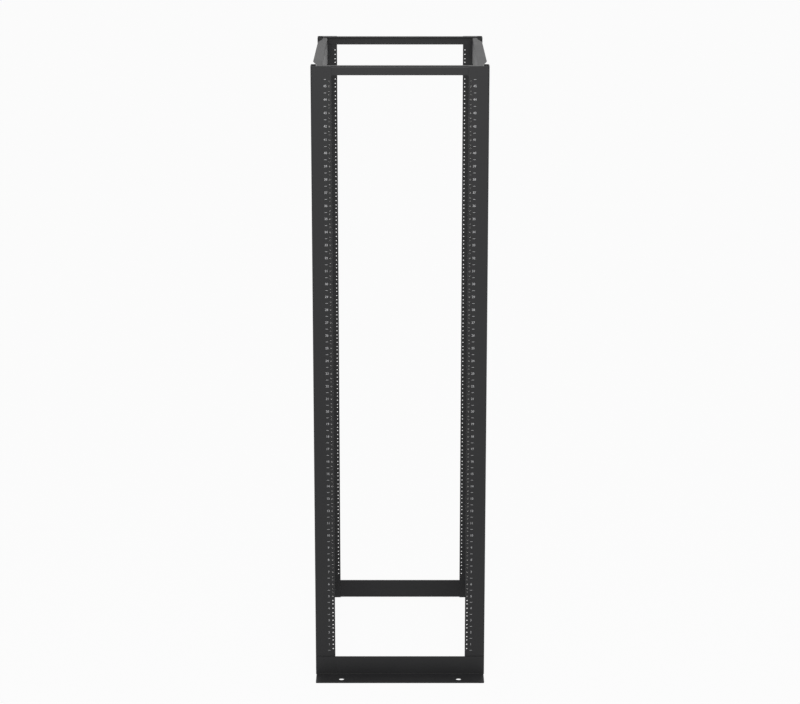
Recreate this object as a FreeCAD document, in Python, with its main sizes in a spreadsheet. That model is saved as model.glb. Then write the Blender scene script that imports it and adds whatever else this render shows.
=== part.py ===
# Four post open frame rack: 45 rack units between four folded posts, tied by angles and channels.
# Millimetres. +Z is up, the front faces -Y, and the origin is on the floor under the middle.
import FreeCAD, Part
import math
import os
import Sketcher
from FreeCAD import Vector

DOC = FreeCAD.newDocument("FourPostRack")

# ---------------------------------------------------------------------------------------------
# Driving dimensions
# ---------------------------------------------------------------------------------------------
SIZES = {
    "rack_width": (587.4, "outside of the left post to outside of the right post"),
    "rack_depth": (762.0, "face of the front posts to face of the rear posts, 30 in"),
    "opening_width": (450.9, "clear width between the face flanges"),
    "post_sheet": (2.7, "thickness of the posts, top angles and side channels"),
    "bend_radius": (2.5, "inside radius of every fold"),
    "post_depth": (50.8, "post, face flange to back of the lip"),
    "post_lip": (17.5, "return lip, from the outside of the web"),
    "rack_units": (45, "number of rack units"),
    "unit_height": (44.45, "height of one rack unit"),
    "foot_height": (90.0, "floor to the bottom of unit 1"),
    "head_height": (43.35, "top of the highest unit to the top of the posts"),
    "hole_edge_distance": (7.1, "free edge of a face flange to its hole column"),
    "first_hole_height": (6.35, "bottom of a unit to its first hole"),
    "hole_spacing": (15.875, "first hole to second, and second to third"),
    "rack_hole_diameter": (5.5, "a rack hole, or the circle round a few-sided one"),
    "top_leg": (30.0, "upright leg of the top angles"),
    "top_flat": (22.0, "flat leg of the top angles"),
    "base_sheet": (3.4, "thickness of the base angles"),
    "base_leg": (68.0, "upright leg of the base angles"),
    "base_toe": (79.4, "face of the posts to the front edge of the toe"),
    "base_inset": (2.0, "base angle ends, in from the outside of the posts"),
    "toe_corner": (5.0, "radius of the toe's corners"),
    "anchor_hole_diameter": (19.0, "a floor anchor hole"),
    "anchor_spacing": (406.4, "distance between the two anchor holes of one toe"),
    "anchor_setback": (49.5, "face of the posts to the anchor holes"),
    "channel_height": (88.9, "side channel, top to bottom"),
    "channel_flange": (31.75, "side channel, inner face of the web to the flange tips"),
    "channel_gap": (2.0, "side channel's flange tips to the web of the post"),
    "lip_gap": (1.0, "narrowed end of a channel flange to the edge of the lip"),
    "narrow_end": (70.0, "face of the posts to where a channel flange starts to widen"),
    "full_width_start": (140.0, "face of the posts to where it has its full width"),
}
DERIVED = {
    "rack_height": "=foot_height + rack_units * unit_height + head_height",
    "hole_column": "=opening_width / 2 + hole_edge_distance",
}

SHEET = DOC.addObject("Spreadsheet::Sheet", "Sizes")
for row, (alias, (value, meaning)) in enumerate(SIZES.items(), start=1):
    SHEET.set("A%d" % row, meaning)
    SHEET.set("B%d" % row, str(value))
    SHEET.setAlias("B%d" % row, alias)
for row, (alias, formula) in enumerate(DERIVED.items(), start=1):
    SHEET.set("C%d" % row, formula)
    SHEET.setAlias("C%d" % row, alias)
DOC.recompute()


def size(alias):
    """A driving dimension as a number, for laying out a sketch before its constraints."""
    return float(SHEET.get(alias))


# ---------------------------------------------------------------------------------------------
# Sketching and folding
# ---------------------------------------------------------------------------------------------
ORIGIN = (-1, 1)


def new_body(label):
    """An empty body whose label is the name of its piece."""
    body = DOC.addObject("PartDesign::Body", label)
    body.Label = label
    return body


def new_sketch(body, plane, name):
    """A sketch on one of the body's own origin planes: XY_Plane, XZ_Plane or YZ_Plane."""
    sketch = body.newObject("Sketcher::SketchObject", body.Label + "_" + name)
    support = [feature for feature in body.Origin.OriginFeatures if feature.Role == plane][0]
    sketch.AttachmentSupport = [(support, "")]
    sketch.MapMode = "FlatFace"
    return sketch


def add_outline(sketch, corners):
    """Close the corners with lines, and keep each level or upright line so. Returns the corners."""
    first = sketch.GeometryCount
    count = len(corners)
    for index in range(count):
        start, end = corners[index], corners[(index + 1) % count]
        sketch.addGeometry(Part.LineSegment(Vector(*start, 0), Vector(*end, 0)), False)
    for index in range(count):
        line = first + index
        following = first + (index + 1) % count
        sketch.addConstraint(Sketcher.Constraint("Coincident", line, 2, following, 1))
        start, end = corners[index], corners[(index + 1) % count]
        if start[1] == end[1]:
            sketch.addConstraint(Sketcher.Constraint("Horizontal", line))
        if start[0] == end[0]:
            sketch.addConstraint(Sketcher.Constraint("Vertical", line))
    return [(first + index, 1) for index in range(count)]


def dimension(sketch, axis, start, end, expression):
    """Tie the distance from start to end, along X or Y of the sketch, to the driving dimensions."""
    span = sketch.getPoint(*end) - sketch.getPoint(*start)
    distance = span.x if axis == "X" else span.y
    if distance < 0:
        start, end = end, start
    kind = "Distance" + axis
    index = sketch.addConstraint(Sketcher.Constraint(kind, *start, *end, abs(distance)))
    sketch.setExpression("Constraints[%d]" % index, expression)


def pad(body, sketch, length, both_ways=False):
    """Extrude a section to a length given as an expression."""
    feature = body.newObject("PartDesign::Pad", body.Label + "_pad")
    feature.Profile = sketch
    feature.setExpression("Length", length)
    if both_ways:
        feature.SideType = "Symmetric"
    DOC.recompute()
    return feature


def pocket(body, sketch, name):
    """Cut a sketch right through the body, to both sides of the sketch."""
    feature = body.newObject("PartDesign::Pocket", body.Label + "_" + name)
    feature.Profile = sketch
    feature.Type = "ThroughAll"
    feature.SideType = "Symmetric"
    DOC.recompute()
    return feature


def fillet(body, name, axis, corners, radius):
    """Round the edges that run along an axis through the given corners of the section."""
    base = body.Tip
    across = [other for other in "xyz" if other != axis]
    names = []
    for number, edge in enumerate(base.Shape.Edges, start=1):
        ends = [vertex.Point for vertex in edge.Vertexes]
        if len(ends) != 2:
            continue
        run = ends[1] - ends[0]
        if abs(getattr(run, axis)) < run.Length * 0.999:
            continue
        place = [getattr(ends[0], other) for other in across]
        if any(abs(place[0] - u) < 0.01 and abs(place[1] - v) < 0.01 for u, v in corners):
            names.append("Edge%d" % number)
    feature = body.newObject("PartDesign::Fillet", body.Label + "_" + name)
    feature.Base = (base, names)
    feature.setExpression("Radius", radius)
    DOC.recompute()
    return feature


def mirror(source, label, normal):
    """The opposite hand of a piece, mirrored through the middle of the rack."""
    copy = DOC.addObject("Part::Mirroring", label)
    copy.Label = label
    copy.Source = source
    copy.Normal = normal
    return copy


# ---------------------------------------------------------------------------------------------
# Posts: face flange with the rack holes, side web and return lip, folded from one sheet
# ---------------------------------------------------------------------------------------------
def make_post(label, mounting_units):
    """A front left post. The outer holes of its mounting units are round."""
    body = new_body(label)
    outside = -size("rack_width") / 2
    inside = -size("opening_width") / 2
    face = -size("rack_depth") / 2
    back = face + size("post_depth")
    thick = size("post_sheet")
    lip = outside + size("post_lip")
    corners = [
        (outside, face),
        (inside, face),
        (inside, face + thick),
        (outside + thick, face + thick),
        (outside + thick, back - thick),
        (lip, back - thick),
        (lip, back),
        (outside, back),
    ]
    section = new_sketch(body, "XY_Plane", "section")
    corner = add_outline(section, corners)
    dimension(section, "X", corner[0], ORIGIN, "Sizes.rack_width / 2")
    dimension(section, "X", corner[1], ORIGIN, "Sizes.opening_width / 2")
    dimension(section, "Y", corner[0], ORIGIN, "Sizes.rack_depth / 2")
    dimension(section, "Y", corner[1], corner[2], "Sizes.post_sheet")
    dimension(section, "X", corner[0], corner[3], "Sizes.post_sheet")
    dimension(section, "Y", corner[5], corner[6], "Sizes.post_sheet")
    dimension(section, "X", corner[7], corner[6], "Sizes.post_lip")
    dimension(section, "Y", corner[0], corner[7], "Sizes.post_depth")
    pad(body, section, "Sizes.rack_height")
    fillet(body, "inner_bends", "z", [corners[3], corners[4]], "Sizes.bend_radius")
    fillet(body, "outer_bends", "z", [corners[0], corners[7]], "Sizes.bend_radius + Sizes.post_sheet")
    punch_every_unit(body)
    drill_mounting_units(body, mounting_units)
    return body


HALF_SIDE = math.sqrt(0.5)
LOWEST_UNIT = "0"
MIDDLE_UNIT = "floor(Sizes.rack_units / 2)"
HIGHEST_UNIT = "(Sizes.rack_units - 1)"


def hole_level(units_below, number):
    """The height of a unit's first, second or third hole, as an expression."""
    return ("Sizes.foot_height + %s * Sizes.unit_height + Sizes.first_hole_height"
            " + %d * Sizes.hole_spacing" % (units_below, number))


def punch_every_unit(body):
    """Three holes to the unit on the universal spacing, each with few sides inside its circle."""
    sketch = new_sketch(body, "XZ_Plane", "unit_holes")
    half = size("rack_hole_diameter") / 2 * HALF_SIDE
    for number in range(3):
        level = size("foot_height") + size("first_hole_height") + number * size("hole_spacing")
        left = -size("hole_column") - half
        right = -size("hole_column") + half
        corner = add_outline(sketch, [
            (left, level - half),
            (right, level - half),
            (right, level + half),
            (left, level + half),
        ])
        side = "Sizes.rack_hole_diameter * %.6f" % HALF_SIDE
        dimension(sketch, "X", corner[0], corner[1], side)
        dimension(sketch, "Y", corner[0], corner[3], side)
        dimension(sketch, "X", corner[0], ORIGIN, "Sizes.hole_column + %s / 2" % side)
        dimension(sketch, "Y", ORIGIN, corner[0], "%s - %s / 2" % (hole_level("0", number), side))
    holes = pocket(body, sketch, "unit_pocket")
    pattern = body.newObject("PartDesign::LinearPattern", body.Label + "_units")
    pattern.Originals = [holes]
    pattern.Direction = (sketch, ["V_Axis"])
    pattern.setExpression("Length", "Sizes.unit_height * (Sizes.rack_units - 1)")
    pattern.setExpression("Occurrences", "Sizes.rack_units")
    body.Tip = pattern
    DOC.recompute()


def drill_mounting_units(body, mounting_units):
    """Open the first and third hole of the mounting units to the full round size."""
    sketch = new_sketch(body, "XZ_Plane", "mounting_holes")
    for units_below in mounting_units:
        for number in (0, 2):
            expression = hole_level(units_below, number)
            sketch.addGeometry(Part.Circle(Vector(-size("hole_column"), 0, 0), Vector(0, 0, 1),
                                           size("rack_hole_diameter") / 2), False)
            circle = sketch.GeometryCount - 1
            index = sketch.addConstraint(
                Sketcher.Constraint("Diameter", circle, size("rack_hole_diameter")))
            sketch.setExpression("Constraints[%d]" % index, "Sizes.rack_hole_diameter")
            dimension(sketch, "X", (circle, 3), ORIGIN, "Sizes.hole_column")
            dimension(sketch, "Y", ORIGIN, (circle, 3), expression)
    pocket(body, sketch, "mounting_pocket")


# ---------------------------------------------------------------------------------------------
# Top angles: upright leg behind the face flanges, flat leg turned in over the side channels
# ---------------------------------------------------------------------------------------------
def make_top_angle(label):
    """The front top angle, cut to fit between the lips of the posts."""
    body = new_body(label)
    front = -size("rack_depth") / 2 + size("post_sheet")
    top = size("rack_height")
    thick = size("post_sheet")
    bottom = top - size("top_leg")
    tip = front + size("top_flat")
    corners = [
        (front, bottom),
        (front + thick, bottom),
        (front + thick, top - thick),
        (tip, top - thick),
        (tip, top),
        (front, top),
    ]
    section = new_sketch(body, "YZ_Plane", "section")
    corner = add_outline(section, corners)
    dimension(section, "X", corner[0], ORIGIN, "Sizes.rack_depth / 2 - Sizes.post_sheet")
    dimension(section, "Y", ORIGIN, corner[5], "Sizes.rack_height")
    dimension(section, "Y", corner[0], corner[5], "Sizes.top_leg")
    dimension(section, "X", corner[0], corner[1], "Sizes.post_sheet")
    dimension(section, "Y", corner[3], corner[4], "Sizes.post_sheet")
    dimension(section, "X", corner[5], corner[4], "Sizes.top_flat")
    pad(body, section, "Sizes.rack_width - 2 * Sizes.post_lip", both_ways=True)
    fillet(body, "inner_bend", "x", [corners[2]], "Sizes.bend_radius")
    fillet(body, "outer_bend", "x", [corners[5]], "Sizes.bend_radius + Sizes.post_sheet")
    return body


# ---------------------------------------------------------------------------------------------
# Base angles: upright leg on the faces of the posts, flat toe on the floor with anchor holes
# ---------------------------------------------------------------------------------------------
def make_base_angle(label):
    """The front base angle."""
    body = new_body(label)
    back = -size("rack_depth") / 2
    thick = size("base_sheet")
    front = back - size("base_toe")
    corners = [
        (back, 0.0),
        (back, size("base_leg")),
        (back - thick, size("base_leg")),
        (back - thick, thick),
        (front, thick),
        (front, 0.0),
    ]
    section = new_sketch(body, "YZ_Plane", "section")
    corner = add_outline(section, corners)
    dimension(section, "X", corner[0], ORIGIN, "Sizes.rack_depth / 2")
    dimension(section, "Y", corner[0], corner[1], "Sizes.base_leg")
    dimension(section, "X", corner[2], corner[1], "Sizes.base_sheet")
    dimension(section, "Y", corner[5], corner[4], "Sizes.base_sheet")
    dimension(section, "X", corner[5], corner[0], "Sizes.base_toe")
    section.addConstraint(Sketcher.Constraint("PointOnObject", *corner[0], -1))
    pad(body, section, "Sizes.rack_width - 2 * Sizes.base_inset", both_ways=True)
    fillet(body, "inner_bend", "x", [corners[3]], "Sizes.bend_radius")
    fillet(body, "outer_bend", "x", [corners[0]], "Sizes.bend_radius + Sizes.base_sheet")
    end = size("rack_width") / 2 - size("base_inset")
    fillet(body, "toe_corners", "z", [(-end, front), (end, front)], "Sizes.toe_corner")
    holes = new_sketch(body, "XY_Plane", "anchor_holes")
    for side in (-1, 1):
        place = Vector(side * size("anchor_spacing") / 2, back - size("anchor_setback"), 0)
        radius = size("anchor_hole_diameter") / 2
        circle = holes.addGeometry(Part.Circle(place, Vector(0, 0, 1), radius), False)
        index = holes.addConstraint(Sketcher.Constraint("Diameter", circle, size("anchor_hole_diameter")))
        holes.setExpression("Constraints[%d]" % index, "Sizes.anchor_hole_diameter")
        dimension(holes, "X", ORIGIN, (circle, 3), "Sizes.anchor_spacing / 2")
        dimension(holes, "Y", ORIGIN, (circle, 3), "Sizes.rack_depth / 2 + Sizes.anchor_setback")
    pocket(body, holes, "anchors")
    return body


# ---------------------------------------------------------------------------------------------
# Side channels: web inwards, flanges outwards, the flanges narrowed at both ends to pass the lips
# ---------------------------------------------------------------------------------------------
def make_side_channel(label, underside, length):
    """A left channel, whose underside level and length are given as expressions."""
    body = new_body(label)
    thick = size("post_sheet")
    tips = -size("rack_width") / 2 + thick + size("channel_gap")
    web = tips + size("channel_flange")
    top = size("channel_height")
    corners = [
        (web, 0.0),
        (web, top),
        (tips, top),
        (tips, top - thick),
        (web - thick, top - thick),
        (web - thick, thick),
        (tips, thick),
        (tips, 0.0),
    ]
    section = new_sketch(body, "XZ_Plane", "section")
    corner = add_outline(section, corners)
    section.addConstraint(Sketcher.Constraint("PointOnObject", *corner[0], -1))
    section.addConstraint(Sketcher.Constraint("Vertical", *corner[2], *corner[7]))
    dimension(section, "X", corner[7], ORIGIN,
              "Sizes.rack_width / 2 - Sizes.post_sheet - Sizes.channel_gap")
    dimension(section, "X", corner[7], corner[0], "Sizes.channel_flange")
    dimension(section, "Y", corner[0], corner[1], "Sizes.channel_height")
    dimension(section, "Y", corner[3], corner[2], "Sizes.post_sheet")
    dimension(section, "Y", corner[7], corner[6], "Sizes.post_sheet")
    dimension(section, "X", corner[4], corner[1], "Sizes.post_sheet")
    pad(body, section, length, both_ways=True)
    fillet(body, "inner_bends", "y", [corners[4], corners[5]], "Sizes.bend_radius")
    fillet(body, "outer_bends", "y", [corners[0], corners[1]], "Sizes.bend_radius + Sizes.post_sheet")
    narrow_the_ends(body)
    body.setExpression("Placement.Base.z", underside)
    return body


def narrow_the_ends(body):
    """Cut both flanges back beside the lips, with a slant out to their full width."""
    outside = -size("rack_width") / 2
    face = -size("rack_depth") / 2
    narrow = outside + size("post_lip") + size("lip_gap")
    tips = outside + size("post_sheet") + size("channel_gap")
    corners = [
        (outside, face),
        (narrow, face),
        (narrow, face + size("narrow_end")),
        (tips, face + size("full_width_start")),
        (outside, face + size("full_width_start")),
    ]
    sketch = new_sketch(body, "XY_Plane", "end_cut")
    corner = add_outline(sketch, corners)
    dimension(sketch, "X", corner[0], ORIGIN, "Sizes.rack_width / 2")
    dimension(sketch, "Y", corner[0], ORIGIN, "Sizes.rack_depth / 2")
    dimension(sketch, "X", corner[0], corner[1], "Sizes.post_lip + Sizes.lip_gap")
    dimension(sketch, "Y", corner[1], corner[2], "Sizes.narrow_end")
    dimension(sketch, "X", corner[4], corner[3], "Sizes.post_sheet + Sizes.channel_gap")
    dimension(sketch, "Y", corner[0], corner[4], "Sizes.full_width_start")
    cut = pocket(body, sketch, "end_pocket")
    opposite = body.newObject("PartDesign::Mirrored", body.Label + "_other_end")
    opposite.Originals = [cut]
    middle = [feature for feature in body.Origin.OriginFeatures if feature.Role == "XZ_Plane"][0]
    opposite.MirrorPlane = (middle, [""])
    body.Tip = opposite
    DOC.recompute()


# ---------------------------------------------------------------------------------------------
# The rack
# ---------------------------------------------------------------------------------------------
LEFT_TO_RIGHT = Vector(1, 0, 0)
FRONT_TO_REAR = Vector(0, 1, 0)

post_front_left = make_post("post_front_left", (LOWEST_UNIT, HIGHEST_UNIT))
post_rear_pattern = make_post("post_rear_pattern", (MIDDLE_UNIT,))
post_rear_left = mirror(post_rear_pattern, "post_rear_left", FRONT_TO_REAR)
top_angle_front = make_top_angle("top_angle_front")
base_angle_front = make_base_angle("base_angle_front")
channel_top_left = make_side_channel(
    "side_channel_top_left",
    "Sizes.rack_height - Sizes.post_sheet - Sizes.channel_height",
    "Sizes.rack_depth - 4 * Sizes.post_sheet - 2 * Sizes.bend_radius",
)
channel_base_left = make_side_channel(
    "side_channel_base_left",
    "Sizes.post_sheet",
    "Sizes.rack_depth - 2 * Sizes.post_sheet",
)

PIECES = [
    post_front_left,
    mirror(post_front_left, "post_front_right", LEFT_TO_RIGHT),
    post_rear_left,
    mirror(post_rear_left, "post_rear_right", LEFT_TO_RIGHT),
    top_angle_front,
    mirror(top_angle_front, "top_angle_rear", FRONT_TO_REAR),
    base_angle_front,
    mirror(base_angle_front, "base_angle_rear", FRONT_TO_REAR),
    channel_top_left,
    mirror(channel_top_left, "side_channel_top_right", LEFT_TO_RIGHT),
    channel_base_left,
    mirror(channel_base_left, "side_channel_base_right", LEFT_TO_RIGHT),
]
DOC.recompute()

for item in DOC.Objects:
    if "Invalid" in item.State or "Error" in item.State:
        raise RuntimeError("%s did not compute: %s" % (item.Label, item.State))
for piece in PIECES:
    if piece.Shape.isNull() or not piece.Shape.isValid():
        raise RuntimeError("%s has no valid shape" % piece.Label)

os.makedirs("parts", exist_ok=True)
for piece in PIECES:
    piece.Shape.exportStep(os.path.join("parts", piece.Label + ".step"))
    box = piece.Shape.BoundBox
    print("%-26s %8.1f x %6.1f x %7.1f mm" % (piece.Label, box.XLength, box.YLength, box.ZLength))
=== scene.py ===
# Four post open frame rack, dressed: punched posts with printed unit marks, angles and channels, all
# folded from sheet steel in black powder coat, on a pale studio floor. Metres, +Z up, front to -Y.
import math

import bmesh
import bpy
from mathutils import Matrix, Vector


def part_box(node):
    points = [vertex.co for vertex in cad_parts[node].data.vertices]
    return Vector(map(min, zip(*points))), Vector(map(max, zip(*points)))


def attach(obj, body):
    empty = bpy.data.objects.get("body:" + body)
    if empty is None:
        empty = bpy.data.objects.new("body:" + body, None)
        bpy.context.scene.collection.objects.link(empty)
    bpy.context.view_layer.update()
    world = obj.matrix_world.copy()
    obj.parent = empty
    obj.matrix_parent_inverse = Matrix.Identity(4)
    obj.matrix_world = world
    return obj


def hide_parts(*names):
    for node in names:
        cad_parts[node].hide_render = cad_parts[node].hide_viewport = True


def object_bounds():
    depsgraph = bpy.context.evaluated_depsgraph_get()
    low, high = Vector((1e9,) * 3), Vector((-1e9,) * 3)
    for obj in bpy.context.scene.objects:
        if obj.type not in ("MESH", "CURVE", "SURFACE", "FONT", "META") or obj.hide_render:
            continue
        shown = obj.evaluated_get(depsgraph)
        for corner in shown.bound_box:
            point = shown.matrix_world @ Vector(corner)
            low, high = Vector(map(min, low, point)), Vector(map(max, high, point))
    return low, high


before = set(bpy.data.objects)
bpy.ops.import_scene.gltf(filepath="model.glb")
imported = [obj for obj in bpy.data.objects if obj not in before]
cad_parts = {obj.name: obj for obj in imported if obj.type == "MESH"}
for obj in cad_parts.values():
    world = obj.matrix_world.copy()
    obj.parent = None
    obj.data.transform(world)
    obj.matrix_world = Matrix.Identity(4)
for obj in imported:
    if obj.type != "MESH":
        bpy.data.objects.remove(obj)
cad_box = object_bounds()


# ---------------------------------------------------------------------------------------------
# Powder coat
# The whole frame is mild steel sheet under one coat of black polyester powder, baked to a satin
# skin with a fine grain. Handling leaves its gloss a little uneven from place to place.
# ---------------------------------------------------------------------------------------------
DEEP_BLACK = (0.019, 0.019, 0.020, 1)
WORN_BLACK = (0.026, 0.026, 0.027, 1)
SATIN = 0.46
GRAIN_SCALE = 900.0
FLOW_SCALE = 190.0
HANDLING_SCALE = 5.0


class Shade:
    """A shader socket to reckon with: each sign between two of them adds a Math node."""

    def __init__(self, tree, socket=None):
        self.tree = tree
        self.socket = socket

    def node(self, kind, settings, sockets, output=0):
        """Add any other node: its settings first, then the values or links of its sockets."""
        made = self.tree.nodes.new("ShaderNode" + kind)
        for name, setting in settings.items():
            setattr(made, name, setting)
        for name, content in sockets.items():
            if isinstance(content, Shade):
                self.tree.links.new(content.socket, made.inputs[name])
            else:
                made.inputs[name].default_value = content
        return Shade(self.tree, made.outputs[output])

    def maths(self, operation, first, second):
        return self.node("Math", {"operation": operation}, {0: first, 1: second})

    def __add__(self, other):
        return self.maths("ADD", self, other)

    def __radd__(self, other):
        return self.maths("ADD", other, self)

    def __sub__(self, other):
        return self.maths("SUBTRACT", self, other)

    def __rsub__(self, other):
        return self.maths("SUBTRACT", other, self)

    def __mul__(self, other):
        return self.maths("MULTIPLY", self, other)

    def __rmul__(self, other):
        return self.maths("MULTIPLY", other, self)

    def blend(self, first, second):
        """A colour between two others, with this shade as the share of the second."""
        return self.node("Mix", {"data_type": "RGBA"}, {0: self, 6: first, 7: second}, 2)

    def feed(self, surface, name):
        self.tree.links.new(self.socket, surface.inputs[name])


def new_finish(name):
    """A material with nothing but its surface shader. Returns it, its tree and that shader."""
    material = bpy.data.materials.new(name)
    material.use_nodes = True
    tree = material.node_tree
    return material, Shade(tree), tree.nodes["Principled BSDF"]


powder_coat, tool, surface = new_finish("black_powder_coat")
place = tool.node("TexCoord", {}, {}, "Object")
grain = tool.node("TexNoise", {}, {"Vector": place, "Scale": GRAIN_SCALE, "Detail": 2.0})
flow = tool.node("TexNoise", {}, {"Vector": place, "Scale": FLOW_SCALE, "Detail": 1.0})
handling = tool.node("TexNoise", {}, {"Vector": place, "Scale": HANDLING_SCALE, "Detail": 3.0})
(handling * 0.7 + grain * 0.3).blend(DEEP_BLACK, WORN_BLACK).feed(surface, "Base Color")
(SATIN + (handling - 0.5) * 0.16 + (grain - 0.5) * 0.10).feed(surface, "Roughness")
relief = grain * 0.6 + flow * 0.4
skin = tool.node("Bump", {}, {"Strength": 0.25, "Distance": 0.0002, "Height": relief})
skin.feed(surface, "Normal")
surface.inputs["Specular IOR Level"].default_value = 0.25


# ---------------------------------------------------------------------------------------------
# Posts
# Each is one sheet, punched flat with three round holes to the rack unit, then folded into a face
# flange, a side web and a return lip. The holes are tapped and countersunk from outside after the
# coating, so their threads are bare steel. The cut edges of the sheet are slightly rounded.
# ---------------------------------------------------------------------------------------------
SHEET = 0.0027
OUTER_BEND = 0.0052
FOLD_STEPS = 5
LIP = 0.0175
FOOT_HEIGHT = 0.0900
UNITS = 45
UNIT_HEIGHT = 0.04445
FIRST_HOLE = 0.00635
HOLE_SPACING = 0.015875
HOLE_TO_EDGE = 0.0071
HOLE_SIDES = 12
THREAD_RADIUS = 0.00185
THREAD_PITCH = 0.00106
COUNTERSINK = 0.00065
EDGE_ROUNDING = 0.0003
SHARP_EDGE = math.radians(60)
SOFT_EDGE = math.radians(35)
NEAR = 0.00001
DULL_STEEL = (0.46, 0.45, 0.44, 1)
CLEAN_STEEL = (0.62, 0.61, 0.60, 1)

threads, tool, surface = new_finish("bare_steel_threads")
place = tool.node("TexCoord", {}, {}, "Object")
# A wave texture of scale 1 repeats every tenth of pi.
turns_scale = math.pi / (10 * THREAD_PITCH)
turns = tool.node("TexWave", {"bands_direction": "Y"},
                  {"Vector": place, "Scale": turns_scale, "Distortion": 0.0})
smears = tool.node("TexNoise", {}, {"Vector": place, "Scale": 700.0, "Detail": 2.0})
smears.blend(DULL_STEEL, CLEAN_STEEL).feed(surface, "Base Color")
(0.30 + smears * 0.20).feed(surface, "Roughness")
surface.inputs["Metallic"].default_value = 1.0
cut = tool.node("Bump", {}, {"Strength": 0.8, "Distance": 0.0005, "Height": turns})
cut.feed(surface, "Normal")

post_low, post_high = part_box("post_front_left")


def select_where(kind, passes):
    """In edit mode, select only the VERT, EDGE or FACE elements whose vertices all pass."""
    bpy.ops.mesh.select_mode(type=kind)
    bpy.ops.mesh.select_all(action="DESELECT")
    mesh = bmesh.from_edit_mesh(bpy.context.edit_object.data)
    elements = {"VERT": mesh.verts, "EDGE": mesh.edges, "FACE": mesh.faces}[kind]
    for element in elements:
        corners = [element] if kind == "VERT" else element.verts
        element.select_set(all(passes(corner.co) for corner in corners))
    mesh.select_flush_mode()
    bmesh.update_edit_mesh(bpy.context.edit_object.data)


def select_loose_edges():
    """In edit mode, select only the edges that no face uses yet."""
    bpy.ops.mesh.select_mode(type="EDGE")
    bpy.ops.mesh.select_all(action="DESELECT")
    bpy.ops.mesh.select_non_manifold(
        extend=False, use_wire=True, use_boundary=False, use_multi_face=False,
        use_non_contiguous=False, use_verts=False)


def extrude_edges(x=0.0, y=0.0, z=0.0):
    bpy.ops.mesh.extrude_edges_move(TRANSFORM_OT_translate={"value": (x, y, z)})


def add_modifier(piece, kind, **settings):
    """Give a piece a modifier and apply it at once."""
    modifier = piece.modifiers.new(kind.title(), kind)
    for name, setting in settings.items():
        setattr(modifier, name, setting)
    bpy.ops.object.modifier_apply(modifier=modifier.name)


def ring_a_hole(column, level, below, above):
    """Add a flat ring of sheet round one hole, from its rim to the edge of its own patch."""
    middle = Vector((column, post_low.y, level + (above - below) / 2))
    width = 2 * HOLE_TO_EDGE
    height = below + above
    bpy.ops.mesh.primitive_grid_add(x_subdivisions=3, y_subdivisions=3, size=1, location=middle,
                                    rotation=(math.pi / 2, 0, 0))
    bpy.ops.transform.resize(value=(width, 1, height), center_override=middle)
    bpy.ops.mesh.delete(type="ONLY_FACE")
    # The points within the patch go, and those on its border, half its size out, stay.
    select_where("VERT", lambda point: abs(point.x - middle.x) < width / 4
                 and abs(point.z - middle.z) < height / 4)
    bpy.ops.mesh.delete(type="VERT")
    bpy.ops.mesh.primitive_circle_add(vertices=HOLE_SIDES, radius=THREAD_RADIUS, fill_type="NOTHING",
                                      location=(column, post_low.y, level),
                                      rotation=(math.pi / 2, math.pi / HOLE_SIDES, 0))
    select_loose_edges()
    bpy.ops.mesh.bridge_edge_loops()


hole_column = post_high.x - HOLE_TO_EDGE
half_step = HOLE_SPACING / 2
bpy.ops.object.select_all(action="DESELECT")
bpy.ops.mesh.primitive_plane_add()
post = bpy.context.object
bpy.ops.object.mode_set(mode="EDIT")
bpy.ops.mesh.delete(type="VERT")
for number, (below, above) in enumerate([(FIRST_HOLE, half_step), (half_step, half_step),
                                         (half_step, FIRST_HOLE)]):
    ring_a_hole(hole_column, FOOT_HEIGHT + FIRST_HOLE + number * HOLE_SPACING, below, above)
bpy.ops.mesh.select_all(action="SELECT")
bpy.ops.mesh.remove_doubles(threshold=NEAR)
bpy.ops.object.mode_set(mode="OBJECT")
add_modifier(post, "ARRAY", count=UNITS, use_relative_offset=False, use_constant_offset=True,
             constant_offset_displace=(0, 0, UNIT_HEIGHT), use_merge_vertices=True,
             merge_threshold=NEAR)

units_top = FOOT_HEIGHT + UNITS * UNIT_HEIGHT
bpy.ops.object.mode_set(mode="EDIT")
select_where("EDGE", lambda point: abs(point.z - FOOT_HEIGHT) < NEAR)
extrude_edges(z=post_low.z - FOOT_HEIGHT)
# The rounding of 45 steps adds up, so the top border is looked for with more room.
select_where("EDGE", lambda point: abs(point.z - units_top) < 10 * NEAR)
extrude_edges(z=post_high.z - units_top)
patches_side = hole_column - HOLE_TO_EDGE
select_where("EDGE", lambda point: abs(point.x - patches_side) < NEAR)
extrude_edges(x=post_low.x - patches_side)
extrude_edges(y=post_high.y - post_low.y)
extrude_edges(x=LIP)
bpy.ops.mesh.select_all(action="SELECT")
bpy.ops.mesh.normals_make_consistent(inside=False)
mesh = bmesh.from_edit_mesh(post.data)
face_flange = min(mesh.faces, key=lambda face: face.calc_center_median().y)
if face_flange.normal.y > 0:
    bpy.ops.mesh.flip_normals()
select_where("EDGE", lambda point: abs(point.x - post_low.x) < NEAR
             and min(abs(point.y - post_low.y), abs(point.y - post_high.y)) < NEAR)
mesh = bmesh.from_edit_mesh(post.data)
for edge in mesh.edges:
    if edge.select and abs(edge.verts[0].co.z - edge.verts[1].co.z) < NEAR:
        edge.select_set(False)
bmesh.update_edit_mesh(post.data)
bpy.ops.mesh.bevel(offset=OUTER_BEND, segments=FOLD_STEPS, profile=0.5, affect="EDGES")
bpy.ops.object.mode_set(mode="OBJECT")
add_modifier(post, "SOLIDIFY", thickness=SHEET, offset=-1, use_even_offset=True)
post.data.materials.append(powder_coat)
post.data.materials.append(threads)


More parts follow.
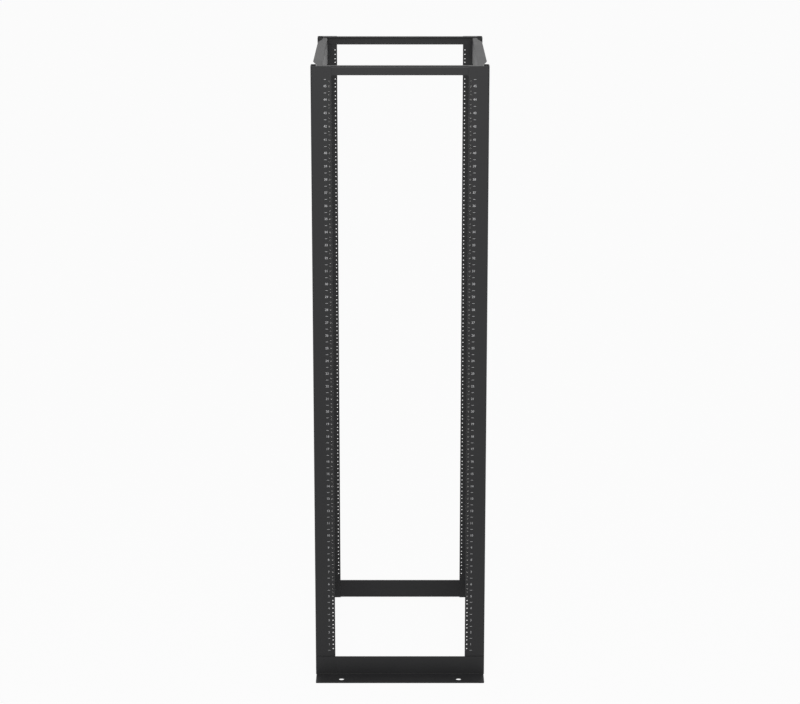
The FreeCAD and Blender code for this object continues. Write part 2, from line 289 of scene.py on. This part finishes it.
def near_a_thread(point, spare):
    """Whether a point lies on the wall of a tapped hole, or at most this far outside it."""
    rise = (point.z - FOOT_HEIGHT) % UNIT_HEIGHT - FIRST_HOLE
    rise = (rise + HOLE_SPACING / 2) % HOLE_SPACING - HOLE_SPACING / 2
    return math.hypot(point.x - hole_column, rise) < THREAD_RADIUS + spare


bpy.ops.object.mode_set(mode="EDIT")
select_where("EDGE", lambda point: abs(point.y - post_low.y) < NEAR and near_a_thread(point, NEAR))
bpy.ops.mesh.bevel(offset=COUNTERSINK, segments=1, affect="EDGES")
# The corners of the ring's outline lie a little further out than its sides.
select_where("FACE", lambda point: near_a_thread(point, 1.1 * COUNTERSINK))
post.active_material_index = 1
bpy.ops.object.material_slot_assign()
bpy.ops.object.mode_set(mode="OBJECT")
add_modifier(post, "BEVEL", width=EDGE_ROUNDING, segments=1, limit_method="ANGLE",
             angle_limit=SHARP_EDGE)


def mirrored_copy(piece, flip):
    """Another of the same sheet, mirrored to its own place by these signs for X, Y and Z."""
    bpy.ops.object.select_all(action="DESELECT")
    copied = piece.copy()
    copied.data = piece.data.copy()
    bpy.context.collection.objects.link(copied)
    bpy.context.view_layer.objects.active = copied
    copied.select_set(True)
    bpy.ops.object.mode_set(mode="EDIT")
    bpy.ops.mesh.select_all(action="SELECT")
    bpy.ops.transform.resize(value=flip, center_override=(0, 0, 0))
    bpy.ops.mesh.normals_make_consistent(inside=False)
    bpy.ops.object.mode_set(mode="OBJECT")
    return copied


def smooth_folds(piece):
    """Shade the folds as round, the broad faces as flat and the cut edges as sharp."""
    bpy.ops.object.select_all(action="DESELECT")
    bpy.context.view_layer.objects.active = piece
    piece.select_set(True)
    bpy.ops.object.shade_smooth_by_angle(angle=SOFT_EDGE)
    add_modifier(piece, "WEIGHTED_NORMAL", keep_sharp=True)


posts = {"front_left": post,
         "front_right": mirrored_copy(post, (-1, 1, 1)),
         "rear_left": mirrored_copy(post, (1, -1, 1)),
         "rear_right": mirrored_copy(post, (-1, -1, 1))}
for corner, piece in posts.items():
    smooth_folds(piece)
    piece.name = "punched_post_" + corner
    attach(piece, "root")
    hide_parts("post_" + corner)


# ---------------------------------------------------------------------------------------------
# Unit marks
# A pale grey print on the face flange of each front post: a short line at the border of every
# rack unit, and the unit's number between two lines, counted from the floor.
# ---------------------------------------------------------------------------------------------
MARK_COLUMN = 0.2463
LINE_LENGTH = 0.0080
LINE_THICKNESS = 0.0014
DIGIT_SIZE = 0.0108
DIGIT_BOLDNESS = 0.00018
INK = 0.00006
THIN_INK = (0.36, 0.36, 0.37, 1)
FULL_INK = (0.52, 0.52, 0.53, 1)

ink, tool, surface = new_finish("pale_grey_print")
place = tool.node("TexCoord", {}, {}, "Object")
patches = tool.node("TexNoise", {}, {"Vector": place, "Scale": 350.0, "Detail": 3.0})
patches.blend(THIN_INK, FULL_INK).feed(surface, "Base Color")
(0.42 + patches * 0.16).feed(surface, "Roughness")

for side_name, column in (("left", -MARK_COLUMN), ("right", MARK_COLUMN)):
    bpy.ops.object.select_all(action="DESELECT")
    bpy.ops.mesh.primitive_plane_add(size=1, location=(column, post_low.y, FOOT_HEIGHT),
                                     rotation=(math.pi / 2, 0, 0))
    marks = bpy.context.object
    marks.scale = (LINE_LENGTH, LINE_THICKNESS, 1)
    bpy.ops.object.transform_apply(location=True, rotation=True, scale=True)
    add_modifier(marks, "ARRAY", count=UNITS + 1, use_relative_offset=False,
                 use_constant_offset=True, constant_offset_displace=(0, 0, UNIT_HEIGHT))
    add_modifier(marks, "SOLIDIFY", thickness=2 * INK, offset=0)
    numbers = []
    for unit in range(1, UNITS + 1):
        level = FOOT_HEIGHT + (unit - 0.5) * UNIT_HEIGHT
        bpy.ops.object.text_add(location=(column, post_low.y, level), rotation=(math.pi / 2, 0, 0))
        number = bpy.context.object
        number.data.body = str(unit)
        number.data.size = DIGIT_SIZE
        number.data.align_x = "CENTER"
        number.data.align_y = "CENTER"
        number.data.resolution_u = 3
        number.data.extrude = INK
        number.data.offset = DIGIT_BOLDNESS
        bpy.ops.object.convert(target="MESH")
        numbers.append(bpy.context.object)
    bpy.ops.object.select_all(action="DESELECT")
    for number in numbers:
        number.select_set(True)
    marks.select_set(True)
    bpy.context.view_layer.objects.active = marks
    bpy.ops.object.join()
    marks.data.materials.clear()
    marks.data.materials.append(ink)
    marks.name = "unit_marks_" + side_name
    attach(marks, "root")


# ---------------------------------------------------------------------------------------------
# Base angles
# A heavier sheet folded tight: the upright leg lies on the faces of two posts, and the toe lies on
# the floor, with rounded corners and two holes for floor anchors. The rear one is a mirror image.
# ---------------------------------------------------------------------------------------------
ANGLE_SHEET = 0.0034
TIGHT_BEND = 0.0042
TOE_CORNER = 0.0050
ANCHOR_RADIUS = 0.0095
ANCHOR_SPACING = 0.4064
ANCHOR_SETBACK = 0.0495
DRILL_SIDES = 48

angle_low, angle_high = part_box("base_angle_front")
leg_middle = (0, angle_high.y, (angle_low.z + angle_high.z) / 2)
bpy.ops.object.select_all(action="DESELECT")
bpy.ops.mesh.primitive_plane_add(size=1, location=leg_middle, rotation=(math.pi / 2, 0, 0))
base_angle = bpy.context.object
base_angle.scale = (angle_high.x - angle_low.x, angle_high.z - angle_low.z, 1)
bpy.ops.object.transform_apply(location=True, rotation=True, scale=True)
bpy.ops.object.mode_set(mode="EDIT")
select_where("EDGE", lambda point: abs(point.z - angle_low.z) < NEAR)
extrude_edges(y=angle_low.y - angle_high.y)
bpy.ops.mesh.select_all(action="SELECT")
bpy.ops.mesh.normals_make_consistent(inside=False)
mesh = bmesh.from_edit_mesh(base_angle.data)
toe = min(mesh.faces, key=lambda face: face.calc_center_median().z)
if toe.normal.z > 0:
    bpy.ops.mesh.flip_normals()
select_where("EDGE", lambda point: abs(point.z - angle_low.z) < NEAR
             and abs(point.y - angle_high.y) < NEAR)
bpy.ops.mesh.bevel(offset=TIGHT_BEND, segments=FOLD_STEPS, profile=0.5, affect="EDGES")
select_where("VERT", lambda point: abs(point.y - angle_low.y) < NEAR)
bpy.ops.mesh.bevel(offset=TOE_CORNER, segments=FOLD_STEPS, profile=0.5, affect="VERTICES")
bpy.ops.object.mode_set(mode="OBJECT")
add_modifier(base_angle, "SOLIDIFY", thickness=ANGLE_SHEET, offset=-1, use_even_offset=True)
for side in (-1, 1):
    bpy.ops.mesh.primitive_cylinder_add(
        vertices=DRILL_SIDES, radius=ANCHOR_RADIUS, depth=4 * ANGLE_SHEET,
        location=(side * ANCHOR_SPACING / 2, angle_high.y - ANCHOR_SETBACK, 0))
    drill = bpy.context.object
    bpy.ops.object.select_all(action="DESELECT")
    bpy.context.view_layer.objects.active = base_angle
    add_modifier(base_angle, "BOOLEAN", operation="DIFFERENCE", object=drill, solver="EXACT")
    bpy.data.objects.remove(drill)
add_modifier(base_angle, "BEVEL", width=EDGE_ROUNDING, segments=2, limit_method="ANGLE",
             angle_limit=SHARP_EDGE)
base_angle.data.materials.clear()
base_angle.data.materials.append(powder_coat)

base_angles = {"front": base_angle, "rear": mirrored_copy(base_angle, (1, -1, 1))}
for end, piece in base_angles.items():
    smooth_folds(piece)
    piece.name = "folded_base_angle_" + end
    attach(piece, "root")
    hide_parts("base_angle_" + end)


# ---------------------------------------------------------------------------------------------
# Top angles and side channels
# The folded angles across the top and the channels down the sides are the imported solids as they
# are, in the same powder coat as the posts.
# ---------------------------------------------------------------------------------------------
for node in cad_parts.values():
    node.data.materials.clear()
    node.data.materials.append(powder_coat)


# ---------------------------------------------------------------------------------------------
# Studio
# A wide pale floor under a plain white surround, a large soft lamp high up in front and a smaller one
# nearer to the rack's top. The camera looks down on the rack from the front, from far off.
# ---------------------------------------------------------------------------------------------
FLOOR_REACH = 60.0
FLOOR_GREY = (0.62, 0.62, 0.62, 1)
FLOOR_WHITENESS = 0.95
SURROUND_SEEN = 0.98
SURROUND_LIGHT = 0.44
CAMERA_SPOT = (0.0, -8.2781, 3.2625)
CAMERA_TILT = math.radians(75.2864)
LENS = 108.96
FRAME_SHIFT = -0.0081
LAMPS = [
    ("front_lamp", (0.0, -6.0, 4.2), math.radians(60), 3.0, 106.0),
    ("top_lamp", (0.0, -2.4, 2.75), math.radians(33), 1.2, 20.0),
]

paper, tool, surface = new_finish("pale_floor")
surface.inputs["Base Color"].default_value = FLOOR_GREY
surface.inputs["Roughness"].default_value = 0.9


def seen_directly(tool):
    """A shade that is 1 for rays from the camera, a reflection or through glass, and else 0."""
    return (tool.node("LightPath", {}, {}, "Is Camera Ray")
            + tool.node("LightPath", {}, {}, "Is Glossy Ray")
            + tool.node("LightPath", {}, {}, "Is Transmission Ray"))


plain = Shade(tool.tree, surface.outputs[0])
white = tool.node("Emission", {}, {"Color": (1, 1, 1, 1), "Strength": 1.0})
covered = tool.node("MixShader", {}, {0: seen_directly(tool) * FLOOR_WHITENESS, 1: plain, 2: white})
covered.feed(tool.tree.nodes["Material Output"], "Surface")

bpy.ops.object.select_all(action="DESELECT")
bpy.ops.mesh.primitive_plane_add(size=FLOOR_REACH, location=(0, 0, cad_box[0][2]))
floor = bpy.context.object
floor.name = "studio_floor"
floor.data.materials.append(paper)

world = bpy.data.worlds.new("studio_surround")
bpy.context.scene.world = world
world.use_nodes = True
tree = world.node_tree
seen = seen_directly(Shade(tree))
strength = seen * SURROUND_SEEN + (1 - seen) * SURROUND_LIGHT
strength.feed(tree.nodes["Background"], "Strength")
tree.nodes["Background"].inputs["Color"].default_value = (1, 1, 1, 1)

for name, spot, tilt, width, power in LAMPS:
    bpy.ops.object.light_add(type="AREA", location=spot, rotation=(tilt, 0, 0))
    lamp = bpy.context.object
    lamp.name = name
    lamp.data.size = width
    lamp.data.energy = power

bpy.ops.object.camera_add(location=CAMERA_SPOT, rotation=(CAMERA_TILT, 0, 0))
camera = bpy.context.object
camera.data.sensor_width = 36.0
camera.data.lens = LENS
camera.data.shift_y = FRAME_SHIFT
bpy.context.scene.camera = camera
bpy.context.scene.view_settings.view_transform = "Standard"
